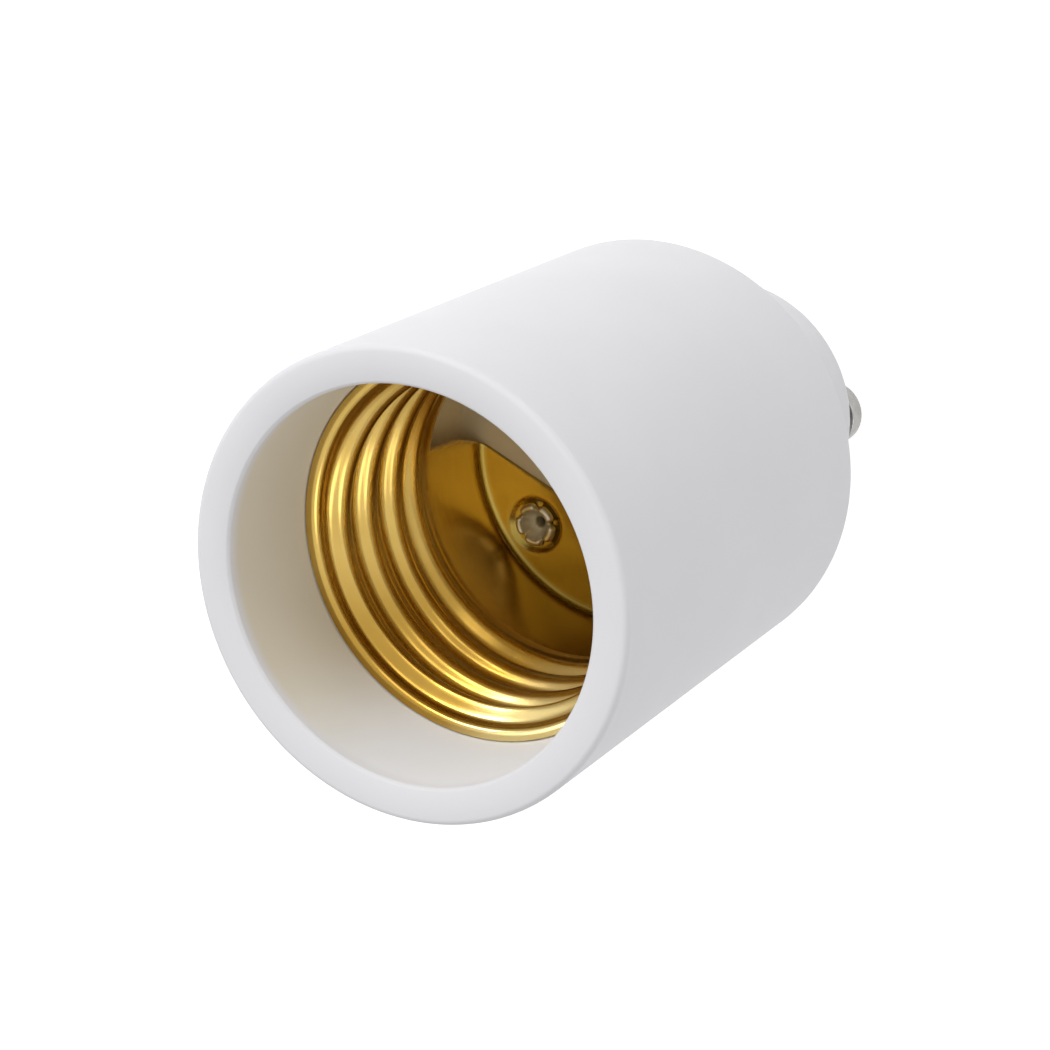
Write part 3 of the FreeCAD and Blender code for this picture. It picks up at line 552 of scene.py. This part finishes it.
def make_brass():
    """Bright drawn brass: lines round the axis, faint blotches and fine scratches.

    The flat bottom has painted shade, darker than the thread and darkest to one side. The thread
    has painted amber shade on one side and a painted pale highlight on the next, and the plain
    neck has painted light.
    """
    nodes = Nodes("brass")
    here = nodes.scaled((1, 1, 1))
    blotch = nodes.noise(here, 240, 4.0, 0.6)

    def tone(colours):
        return nodes.ramp(blotch, zip((0.3, 0.55, 0.8), colours))

    parts = nodes.add("ShaderNodeSeparateXYZ")
    nodes.join(here, parts.inputs[0])
    height = parts.outputs["Z"]
    # Painted amber shade on one side of the thread and a painted pale highlight on the next
    amber = nodes.toward(here, AMBER_SHADE_SIDE, 0.5 * ROOT_R, 0.88 * ROOT_R)
    pale = nodes.toward(here, PALE_HIGHLIGHT_SIDE, 0.55 * ROOT_R, 0.9 * ROOT_R)
    thread = nodes.mixed(amber, tone(BRIGHT_BRASS), tone(AMBER_SHADE_BRASS))
    # The painted pale highlight laid over the thread
    thread = nodes.mixed(pale, thread, tone(PALE_HIGHLIGHT_BRASS))
    # Painted light on the plain neck below the thread
    plain = nodes.fade(height, (PLAIN_TOP + 0.5) * MM, (PLAIN_TOP - 0.8) * MM)
    wall = nodes.mixed(plain, thread, tone(LIT_NECK_BRASS))
    # Painted shade on the flat bottom, deepest to one side
    olive = nodes.toward(here, DEEP_SHADE_SIDE, 2.0, 8.5)
    flat = nodes.mixed(olive, tone(SHADED_BOTTOM_BRASS), tone(DEEP_SHADE_OLIVE_BRASS))
    deep = nodes.fade(height, (BOTTOM_Z + 0.9) * MM, (BOTTOM_Z + 0.2) * MM)
    drawn = nodes.noise(nodes.scaled((160, 160, 9000)), 1.0, 3.0, 0.6)
    lines = nodes.bump(drawn, 0.00003, 0.10)
    dents = nodes.noise(here, 420, 2.0)
    nodes.set(Metallic=1.0)
    return nodes.finish(nodes.mixed(deep, wall, flat), nodes.span(drawn, 0.17, 0.28),
                        nodes.bump(dents, 0.00015, 0.08, lines))


def make_nickel(name, colours, smoothest):
    """Nickel plate over turned metal, with fine turning marks."""
    nodes = Nodes(name)
    here = nodes.scaled((1, 1, 1))
    cloud = nodes.noise(here, 500, 3.0)
    marks = nodes.noise(nodes.scaled((300, 300, 12000)), 1.0, 3.0, 0.6)
    nodes.set(Metallic=1.0)
    return nodes.finish(nodes.blend(cloud, colours), nodes.span(marks, smoothest, smoothest + 0.16),
                        nodes.bump(marks, 0.00002, 0.18))


def make_copper():
    """Bare copper wire, a little cloudy."""
    nodes = Nodes("copper")
    cloud = nodes.noise(nodes.scaled((1, 1, 1)), 900, 3.0)
    nodes.set(Metallic=1.0)
    return nodes.finish(nodes.blend(cloud, COPPER), nodes.span(cloud, 0.25, 0.4))


def make_sleeving():
    """Woven insulating sleeve."""
    nodes = Nodes("sleeving")
    weave = nodes.noise(nodes.scaled((1, 1, 1)), 5000, 2.0)
    nodes.set(Roughness=0.8)
    return nodes.finish(nodes.blend(weave, SLEEVING), normal=nodes.bump(weave, 0.0001, 0.5))


def outer_radius(height):
    """The body's outside, which narrows evenly from the mouth to the shoulder."""
    share = (height - SHOULDER_Z) / (MOUTH_Z - SHOULDER_Z)
    return SHOULDER_R + (MOUTH_R - SHOULDER_R) * share


def make_housing(material):
    """The tapered white body with its bore, ledge and floor."""
    rim_z = MOUTH_Z - RIM_ROUND
    shoulder_z = SHOULDER_Z + SHOULDER_ROUND
    bevel_r = BORE_R + RIM_BEVEL_WIDTH
    bevel_z = MOUTH_Z - RIM_BEVEL_DEPTH
    outline = [(bevel_r - BEVEL_TOP_IN, MOUTH_Z - BEVEL_TOP_OUT)]
    outline += [(bevel_r + BEVEL_TOP_OUT, MOUTH_Z)]
    outline += arc(outer_radius(rim_z) - RIM_ROUND, rim_z, RIM_ROUND, 90, 0, 8)
    outline += arc(outer_radius(shoulder_z) - SHOULDER_ROUND, shoulder_z, SHOULDER_ROUND, 0, -90, 10)
    outline += [(SKIRT_R + SKIRT_SOFT, SHOULDER_Z), (SKIRT_R, SHOULDER_Z + SKIRT_SOFT)]
    outline += [(SKIRT_R, FLOOR_UNDER), (0, FLOOR_UNDER), (0, FLOOR_TOP)]
    outline += arc(SHELL_BORE_R - FLOOR_ROUND, FLOOR_TOP + FLOOR_ROUND, FLOOR_ROUND, -90, 0)
    outline += [(SHELL_BORE_R, LEDGE_Z), (LIP_SEAT_R, LEDGE_Z), (BORE_R, LIP_Z)]
    outline += [(BORE_R, bevel_z - BEVEL_FOOT_DROP)]
    outline += [(BORE_R + BEVEL_TOP_IN, bevel_z + BEVEL_FOOT_RISE)]
    housing = lathe("housing_body", outline)
    half = CONTACT_WIDTH / 2 + RIB_GAP
    ribs = []
    for side in (1, -1):
        across = sorted((side * half, side * (half + RIB_WALL)))
        ribs.append(block("rib", (RIVET_CIRCLE - RIB_LENGTH, RIVET_CIRCLE), across,
                          (FLOOR_TOP - SUNK, FLOOR_TOP + RIB_HEIGHT), RIVET_ANGLE))
    combine(housing, "UNION", ribs)
    cutters = [
        rod("hole_a", RIVET_X, RIVET_Y, RIVET_HOLE_R, FLOOR_UNDER - 1, FLOOR_TOP + 1),
        rod("hole_b", -RIVET_X, -RIVET_Y, RIVET_HOLE_R, FLOOR_UNDER - 1, FLOOR_TOP + 1),
        rod("seat", -RIVET_X, -RIVET_Y, DIMPLE_R + DIMPLE_GAP, FLOOR_TOP - DIMPLE_DEPTH,
            FLOOR_TOP + 1),
    ]
    combine(housing, "DIFFERENCE", cutters)
    settle(housing, ["housing"], material)


def make_base(material):
    """The neck, its end wall and the flange that closes the body."""
    outline = [(0, 0)]
    outline += arc(NECK_R - NECK_ROUND, NECK_ROUND, NECK_ROUND, -90, 0, 10)
    root_z = SHOULDER_Z - NECK_ROOT_ROUND
    outline += arc(NECK_R + NECK_ROOT_ROUND, root_z, NECK_ROOT_ROUND, 180, 90, 4)
    outline += [(FLANGE_R, SHOULDER_Z), (FLANGE_R, FLOOR_UNDER), (SEAT_RING_R, FLOOR_UNDER)]
    outline += [(SEAT_RING_R, FLANGE_TOP), (NECK_BORE_R, FLANGE_TOP), (NECK_BORE_R, END_WALL)]
    outline += [(0, END_WALL)]
    base = lathe("base_body", outline)
    wall = block("wall", (-BARRIER_WALL / 2, BARRIER_WALL / 2), (-BARRIER_REACH, BARRIER_REACH),
                 (END_WALL - SUNK, BARRIER_TOP))
    combine(base, "UNION", [wall])
    cutters = []
    for side in (1, -1):
        cutters.append(rod("pin_hole", side * PIN_X, 0, PIN_SHANK_R + PIN_GAP, -1, END_WALL + 1))
        cutters.append(rod("collar_seat", side * PIN_X, 0, PIN_COLLAR_R + PIN_GAP, -1,
                           PIN_COLLAR_HEIGHT))
    combine(base, "DIFFERENCE", cutters)
    settle(base, ["base"], material)


def rolled_wave(turns):
    """The thread's form, 1 on a crest and 0 at a root, made of equal round arcs."""
    quarter = PITCH / 4
    half = (ROOT_R - CREST_R) / 2
    radius = (quarter ** 2 + half ** 2) / (2 * half)
    share = abs(turns - round(turns))
    off = min(share, 0.5 - share) * PITCH
    drop = (radius - math.sqrt(radius ** 2 - off ** 2)) / (2 * half)
    return 1 - drop if share < 0.25 else drop


def thread_radius(angle, height):
    """Inside radius of the rolled thread, whose crest climbs one pitch each turn."""
    turns = (MOUTH_Z - height - FIRST_CREST_DEPTH) / PITCH + angle / (2 * math.pi)
    wave = rolled_wave(turns)
    inward = ease((THREAD_TOP - height) / FADE_IN)
    inward *= 1 - ease((height - THREAD_LOW) / FADE_OUT) * (1 - wave)
    return ROOT_R - (ROOT_R - CREST_R) * inward


def shell_line():
    """The shell's visible line from the lip's edge down to its bottom.

    Each entry is radius, height and whether the thread sets the radius there.
    """
    line = [(LIP_R, LIP_Z, False), (LIP_R - LIP_EDGE, LIP_Z, False)]
    line += [(r, z, False) for r, z in arc(ROOT_R + LIP_ROUND, LIP_Z - LIP_ROUND, LIP_ROUND, 90, 180)]
    high = LIP_Z - LIP_ROUND - BEND_GAP
    drop = high - THREAD_FOOT
    line += [(None, high - drop * row / THREAD_ROWS, True) for row in range(THREAD_ROWS + 1)]
    line += [(r, z, False) for r, z in PLAIN_STEP]
    neck_low = BOTTOM_Z + BEND_ROUND
    drop = PLAIN_START - neck_low - BEND_GAP
    line += [(PLAIN_R, PLAIN_START - drop * row / NECK_ROWS, False) for row in range(NECK_ROWS + 1)]
    line += [(r, z, False) for r, z in arc(PLAIN_R - BEND_ROUND, neck_low, BEND_ROUND, 0, -90)]
    outer = PLAIN_R - BEND_ROUND
    reach = outer - BOTTOM_INNER_R
    line += [(outer - reach * row / BOTTOM_ROWS, BOTTOM_Z, False)
             for row in range(1, BOTTOM_ROWS + 1)]
    return line


def dimple(x, y):
    """How far the bottom is pressed down round the shell's rivet."""
    away = math.hypot(x + RIVET_X, y + RIVET_Y)
    return DIMPLE_DEPTH * ease((DIMPLE_R - away) / DIMPLE_SLOPE)


def tongue_y(height):
    """Where the straight cut beside the neck's tongue runs at a height."""
    for (low, low_y), (high, high_y) in zip(TONGUE_EDGE, TONGUE_EDGE[1:]):
        if height <= high:
            return low_y + (high_y - low_y) * max(height - low, 0.0) / (high - low)
    return TONGUE_EDGE[-1][1]


def split_mesh(work, place, normal, top):
    """Add edges where a plane crosses the faces below a height."""
    faces = [face for face in work.faces if face.calc_center_median().z < top * MM]
    edges = list({edge for face in faces for edge in face.edges})
    verts = list({vert for face in faces for vert in face.verts})
    bmesh.ops.bisect_plane(work, geom=verts + edges + faces, plane_co=Vector(place) * MM,
                           plane_no=normal)


def make_threaded_shell(material):
    """The brass shell as one visible sheet, cut to its window and thickened outwards."""
    points = []
    line = shell_line()
    for radius, height, threaded in line:
        for step in range(SHELL_STEPS):
            angle = 2 * math.pi * step / SHELL_STEPS
            r = thread_radius(angle, height) if threaded else radius
            x = r * math.cos(angle)
            y = r * math.sin(angle)
            points.append((x * MM, y * MM, (height - dimple(x, y)) * MM))
    faces = []
    for row in range(len(line) - 1):
        first = row * SHELL_STEPS
        second = first + SHELL_STEPS
        for step in range(SHELL_STEPS):
            ahead = (step + 1) % SHELL_STEPS
            faces.append((first + step, second + step, second + ahead, first + ahead))
    mesh = bpy.data.meshes.new("screw_shell")
    mesh.from_pydata(points, [], faces)
    work = bmesh.new()
    work.from_mesh(mesh)
    split_mesh(work, (0, 0, WINDOW_TOP), (0, 0, 1), MOUTH_Z)
    for (low, low_y), (high, high_y) in zip(TONGUE_EDGE, TONGUE_EDGE[1:]):
        split_mesh(work, (0, low_y, low), (0, high - low, low_y - high_y), WINDOW_TOP)
    gone = []
    for face in work.faces:
        centre = face.calc_center_median() / MM
        in_window = centre.z < WINDOW_TOP and centre.y > tongue_y(centre.z)
        in_rivet = math.hypot(centre.x + RIVET_X, centre.y + RIVET_Y) < RIVET_HOLE_R
        if in_window or (in_rivet and centre.z < BOTTOM_Z + 0.1):
            gone.append(face)
    bmesh.ops.delete(work, geom=gone, context="FACES")
    bmesh.ops.remove_doubles(work, verts=work.verts, dist=1e-7)
    work.normal_update()
    if sum(face.normal.dot(-face.calc_center_median().normalized()) for face in work.faces) < 0:
        bmesh.ops.reverse_faces(work, faces=work.faces)
    work.to_mesh(mesh)
    work.free()
    shell = bpy.data.objects.new("screw_shell", mesh)
    bpy.context.scene.collection.objects.link(shell)
    thicken = shell.modifiers.new("sheet", "SOLIDIFY")
    thicken.thickness = SHEET * MM
    thicken.offset = -1
    thicken.use_even_offset = True
    apply_modifiers(shell)
    round_off(shell, SHEET_EDGE_ROUND, 55)
    settle(shell, ["threaded_shell"], material)


def make_rivet(name, node, x, y, seat, material):
    """A tubular rivet whose end is split and rolled outwards into a star."""
    head_top = FLOOR_UNDER - RING_SHEET
    head_low = head_top - RIVET_HEAD_HEIGHT
    outline = [(RIVET_BORE_R, head_low), (RIVET_HEAD_R, head_low), (RIVET_HEAD_R, head_top),
               (RIVET_SHANK_R, head_top), (RIVET_SHANK_R, seat)]
    outline += [(radius, seat + rise) for radius, rise in FLARE_LINE]

    def star(angle, radius, height):
        if height < seat - 1e-6 or radius < UNSPLIT_R:
            return radius, height
        sector = 2 * math.pi / FLARE_SPLITS
        off = (angle % sector) - sector / 2
        notch = math.exp(-(off / SPLIT_ANGLE) ** 2)
        reach = (radius - SPLIT_FOOT_R) * (1 - SPLIT_DEPTH * notch)
        return SPLIT_FOOT_R + reach, seat + (height - seat) * (1 - SPLIT_DROP * notch)

    rivet = lathe(name, outline, (x, y), RIVET_STEPS, star, 50)
    settle(rivet, [node], material)


def strip_line():
    """The contact's middle line, side on: pad, climb, crown over the axis and falling toe."""
    half = CONTACT_SHEET / 2
    pad = FLOOR_TOP + half
    crown = BOTTOM_Z + CONTACT_CROWN_RISE - half
    corners = [(RIVET_CIRCLE + CONTACT_PAD_PAST, pad), (CONTACT_CLIMB_X, pad),
               (CONTACT_CROWN_X, crown), (0.0, crown),
               (CONTACT_TOE_X, BOTTOM_Z + CONTACT_TOE_RISE - half)]
    points = [corners[0]]
    for index in range(1, len(corners) - 1):
        here = Vector(corners[index])
        back = (Vector(corners[index - 1]) - here).normalized()
        ahead = (Vector(corners[index + 1]) - here).normalized()
        turn = math.pi - back.angle(ahead)
        cut = CONTACT_BEND_ROUND * math.tan(turn / 2)
        start = here + back * cut
        end = here + ahead * cut
        centre = here + (back + ahead).normalized() * (CONTACT_BEND_ROUND / math.cos(turn / 2))
        for step in range(BEND_STEPS + 1):
            chord = start.lerp(end, step / BEND_STEPS)
            points.append(tuple(centre + (chord - centre).normalized() * CONTACT_BEND_ROUND))
    points.append(corners[-1])
    return [Vector(point) for point in points]


def make_contact(material):
    """The sprung strip that touches the middle of the lamp's cap."""
    line = strip_line()
    fine = [line[0].lerp(line[1], row / PAD_ROWS) for row in range(PAD_ROWS)] + line[1:]
    points = []
    for index, here in enumerate(fine):
        back = fine[max(index - 1, 0)]
        ahead = fine[min(index + 1, len(fine) - 1)]
        along = (ahead - back).normalized()
        side = Vector((-along.y, along.x)) * (CONTACT_SHEET / 2)
        from_end = min((fine[0] - here).length, CONTACT_PAD_ROUND)
        off_round = CONTACT_PAD_ROUND - from_end
        trim = CONTACT_PAD_ROUND - math.sqrt(max(CONTACT_PAD_ROUND ** 2 - off_round ** 2, 0.0))
        wide = CONTACT_WIDTH / 2 - trim
        for offset, across in ((side, -wide), (side, wide), (-side, wide), (-side, -wide)):
            spot = here + offset
            points.append((spot.x, across, spot.y))
    faces = []
    for index in range(len(fine) - 1):
        first = index * 4
        for corner in range(4):
            following = (corner + 1) % 4
            faces.append((first + corner, first + following, first + 4 + following,
                          first + 4 + corner))
    faces.append((0, 1, 2, 3))
    last = (len(fine) - 1) * 4
    faces.append((last + 3, last + 2, last + 1, last))
    contact = piece_from("contact_strip", turned_about(points, RIVET_ANGLE), faces)
    hole = rod("hole", RIVET_X, RIVET_Y, RIVET_HOLE_R, FLOOR_TOP - 1, FLOOR_TOP + 2)
    combine(contact, "DIFFERENCE", [hole])
    round_off(contact, CONTACT_EDGE_ROUND, 40)
    settle(contact, ["centre_contact"], material)


def make_pin(name, node, x, material):
    """A turned pin: mushroom head, shank, sunk collar and bored tail."""
    neck = PIN_TIP + PIN_HEAD_HEIGHT
    outline = [(0, PIN_TIP)]
    outline += arc(PIN_HEAD_R - PIN_HEAD_ROUND, PIN_TIP + PIN_HEAD_ROUND, PIN_HEAD_ROUND, -90, 0, 8)
    outline += arc(PIN_HEAD_R - PIN_HEAD_EDGE, neck - PIN_HEAD_EDGE, PIN_HEAD_EDGE, 0, 90, 3)
    outline += arc(PIN_SHANK_R + PIN_SHANK_ROOT, neck + PIN_SHANK_ROOT, PIN_SHANK_ROOT, 270, 180, 3)
    outline += [(PIN_SHANK_R, -PIN_COLLAR_SINK), (PIN_COLLAR_R - PIN_COLLAR_EDGE, 0)]
    outline += [(PIN_COLLAR_R, PIN_COLLAR_EDGE)]
    outline += [(PIN_COLLAR_R, PIN_COLLAR_HEIGHT), (PIN_SHANK_R, PIN_COLLAR_HEIGHT)]
    outline += [(PIN_SHANK_R, PIN_TAIL_TOP), (PIN_BORE_R, PIN_TAIL_TOP)]
    outline += [(PIN_BORE_R, PIN_TAIL_TOP - PIN_BORE_DEPTH), (0, PIN_TAIL_TOP - PIN_BORE_DEPTH)]
    pin = lathe(name, outline, (x, 0), SMALL_STEPS)
    settle(pin, [node], material)


def view_axes():
    """The part's X, Y and Z axes and its origin, in the camera's frame."""
    away = Vector((math.sin(VIEW_TILT) * math.cos(VIEW_ROLL),
                   -math.sin(VIEW_TILT) * math.sin(VIEW_ROLL), math.cos(VIEW_TILT)))
    across = away.cross(Vector((0, 0, 1))).normalized()
    along = away.cross(across)
    x_axis = math.cos(VIEW_TURN) * across + math.sin(VIEW_TURN) * along
    z_axis = -away
    y_axis = z_axis.cross(x_axis)
    return x_axis, y_axis, z_axis, MOUTH_IN_VIEW + MOUTH_Z * away


def from_view(right, up, near):
    """A direction or offset seen in the photograph, as one in the part's frame."""
    x_axis, y_axis, z_axis, _ = view_axes()
    seen = Vector((right, -up, -near))
    return Vector((x_axis.dot(seen), y_axis.dot(seen), z_axis.dot(seen)))


def make_camera():
    """A camera that sees the object as the photograph does."""
    x_axis, y_axis, z_axis, origin = view_axes()
    camera_data = bpy.data.cameras.new("camera")
    camera_data.sensor_width = SENSOR
    camera_data.lens = FOCAL_PIXELS / FRAME_PIXELS * SENSOR
    camera_data.clip_start = CLIP_START
    camera = bpy.data.objects.new("camera", camera_data)
    bpy.context.scene.collection.objects.link(camera)
    right = Vector((x_axis.x, y_axis.x, z_axis.x))
    down = Vector((x_axis.y, y_axis.y, z_axis.y))
    forward = Vector((x_axis.z, y_axis.z, z_axis.z))
    spot = -Vector((x_axis.dot(origin), y_axis.dot(origin), z_axis.dot(origin))) * MM
    rows = Matrix((right, -down, -forward)).transposed().to_4x4()
    camera.matrix_world = Matrix.Translation(spot) @ rows
    bpy.context.scene.camera = camera


def make_lamp(name, offset, wide, high, power):
    """A soft box, placed as seen in the photograph and facing the object's middle."""
    middle = Vector((0, 0, MOUTH_Z * MM / 2))
    lamp_data = bpy.data.lights.new(name, "AREA")
    lamp_data.shape = "RECTANGLE"
    lamp_data.size = wide
    lamp_data.size_y = high
    lamp_data.energy = power
    lamp = bpy.data.objects.new(name, lamp_data)
    bpy.context.scene.collection.objects.link(lamp)
    spot = middle + from_view(*offset)
    facing = (middle - spot).to_track_quat("-Z", "Y").to_matrix().to_4x4()
    lamp.matrix_world = Matrix.Translation(spot) @ facing


def show_factor(tree):
    """1 for rays from the camera or off a shiny or clear surface, and 0 for other light."""
    path = tree.nodes.new("ShaderNodeLightPath")
    total = None
    for name in ("Is Camera Ray", "Is Glossy Ray", "Is Transmission Ray"):
        if total is None:
            total = path.outputs[name]
            continue
        larger = tree.nodes.new("ShaderNodeMath")
        larger.operation = "MAXIMUM"
        tree.links.new(total, larger.inputs[0])
        tree.links.new(path.outputs[name], larger.inputs[1])
        total = larger.outputs[0]
    return total


def make_world():
    """Even studio light, with plain white behind the object."""
    world = bpy.data.worlds.new("studio")
    bpy.context.scene.world = world
    world.use_nodes = True
    tree = world.node_tree
    background = tree.nodes["Background"]
    background.inputs["Color"].default_value = (1, 1, 1, 1)
    level = tree.nodes.new("ShaderNodeMapRange")
    level.inputs["To Min"].default_value = ROOM_LIGHT
    level.inputs["To Max"].default_value = 1.0
    tree.links.new(show_factor(tree), level.inputs["Value"])
    tree.links.new(level.outputs["Result"], background.inputs["Strength"])


def make_floor():
    """A wide white floor just under the pins that keeps the object's shadow."""
    height = cad_box[0].z - FLOOR_DROP * MM
    corners = [(x * FLOOR_REACH, y * FLOOR_REACH, height)
               for x, y in ((-1, -1), (1, -1), (1, 1), (-1, 1))]
    mesh = bpy.data.meshes.new("floor")
    mesh.from_pydata(corners, [], [(0, 1, 2, 3)])
    floor = bpy.data.objects.new("floor", mesh)
    bpy.context.scene.collection.objects.link(floor)
    material = bpy.data.materials.new("floor")
    material.use_nodes = True
    tree = material.node_tree
    tree.nodes.remove(tree.nodes["Principled BSDF"])
    matt = tree.nodes.new("ShaderNodeBsdfDiffuse")
    matt.inputs["Color"].default_value = (FLOOR_GREY, FLOOR_GREY, FLOOR_GREY, 1)
    glow = tree.nodes.new("ShaderNodeEmission")
    lift = tree.nodes.new("ShaderNodeMath")
    lift.operation = "MULTIPLY"
    lift.inputs[1].default_value = FLOOR_GLOW
    tree.links.new(show_factor(tree), lift.inputs[0])
    tree.links.new(lift.outputs[0], glow.inputs["Strength"])
    both = tree.nodes.new("ShaderNodeAddShader")
    tree.links.new(matt.outputs[0], both.inputs[0])
    tree.links.new(glow.outputs[0], both.inputs[1])
    tree.links.new(both.outputs[0], tree.nodes["Material Output"].inputs["Surface"])
    mesh.materials.append(material)


white_plastic = make_white_plastic()
brass = make_brass()
nickel = make_nickel("nickel", PIN_NICKEL, 0.2)
rivet_nickel = make_nickel("rivet_nickel", RIVET_NICKEL, 0.36)
finishes = {"white_plastic": white_plastic, "brass": brass, "nickel": nickel,
            "copper": make_copper(), "sleeving": make_sleeving()}

for entry in frame["record"]["subparts"]:
    node = frame["nodes"][entry["node"]]
    for slot in node.material_slots:
        slot.material = finishes[entry["material_slot"]]

make_housing(white_plastic)
make_base(white_plastic)
make_threaded_shell(brass)
make_contact(brass)
make_rivet("star_rivet", "shell_rivet", -RIVET_X, -RIVET_Y, BOTTOM_Z - DIMPLE_DEPTH,
           rivet_nickel)
make_rivet("contact_star_rivet", "contact_rivet", RIVET_X, RIVET_Y, FLOOR_TOP + CONTACT_SHEET,
           rivet_nickel)
make_pin("pin_live", "live_pin", PIN_X, nickel)
make_pin("pin_neutral", "neutral_pin", -PIN_X, nickel)

make_camera()
make_world()
make_floor()
for name, offset, wide, high, power in LAMPS:
    make_lamp(name, offset, wide, high, power)

bpy.context.scene.view_settings.view_transform = "Standard"
